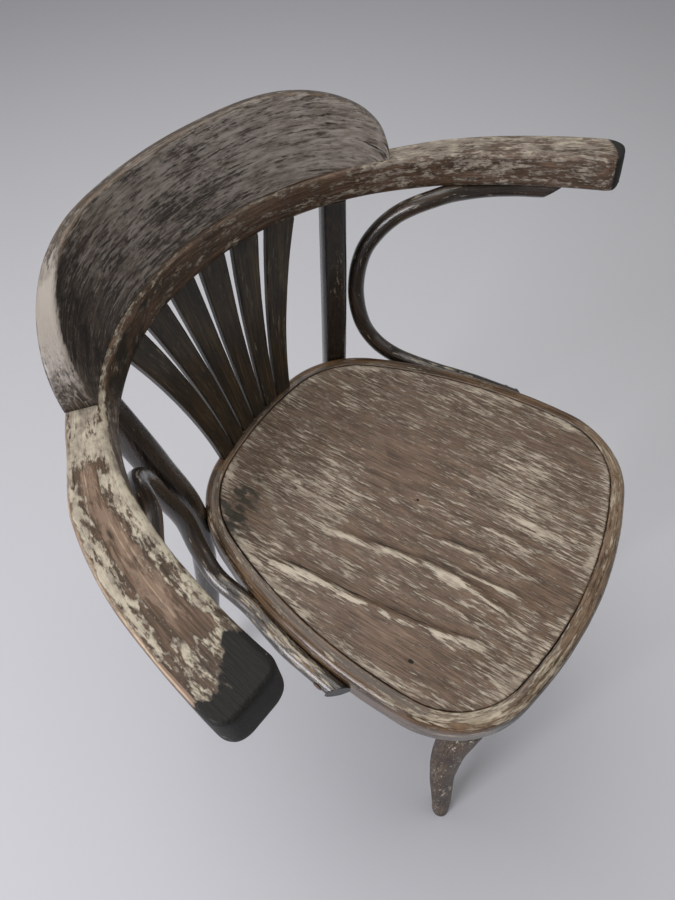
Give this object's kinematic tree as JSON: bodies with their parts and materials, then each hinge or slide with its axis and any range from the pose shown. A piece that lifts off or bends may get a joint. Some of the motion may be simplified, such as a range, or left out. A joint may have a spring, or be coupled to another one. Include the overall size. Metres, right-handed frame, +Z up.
{
  "type": "weathered bentwood armchair",
  "caption": "Bentwood armchair with a fan of flat slats, a crest board on a continuous arm bow and a worn plywood seat; the old paint peels off the wood.",
  "frame": {"origin": "on the floor, under the middle of the outer box", "axes": "+Z up; the front of the chair faces -Y; +X is the sitter's left"},
  "size_m": [0.613, 0.4826, 0.7397],
  "materials": {
    "seat_paint": "dusty brown veneer with flaked grey-beige paint",
    "seat_wood": "brown bentwood with worn pale edges and old varnish",
    "bow_wood": "grey-beige paint worn to pinkish brown wood, black where hands rested",
    "crest_paint": "mottled grey-beige paint over dark brown",
    "dark_wood": "dark brown varnish, scratched",
    "leg_wood": "worn brown varnish with pale flecks",
    "rusty_steel": "dull, lightly rusted"
  },
  "bodies": {
    "root": {"seat_rim": "seat_wood", "seat_panel": "seat_paint", "arm_bow": "bow_wood", "crest_rail": "crest_paint", "slat_1": "dark_wood", "slat_2": "dark_wood", "slat_3": "dark_wood", "slat_4": "dark_wood", "slat_5": "dark_wood", "slat_6": "dark_wood", "rear_post_left": "dark_wood", "rear_post_right": "dark_wood", "front_leg_left": "leg_wood", "front_leg_right": "leg_wood", "arm_support_left": "dark_wood", "arm_support_right": "dark_wood", "post_bolts": "rusty_steel", "post_nuts": "rusty_steel", "support_rim_screws": "rusty_steel", "support_arm_screws": "rusty_steel", "crest_screws": "rusty_steel"}
  },
  "joints": []
}
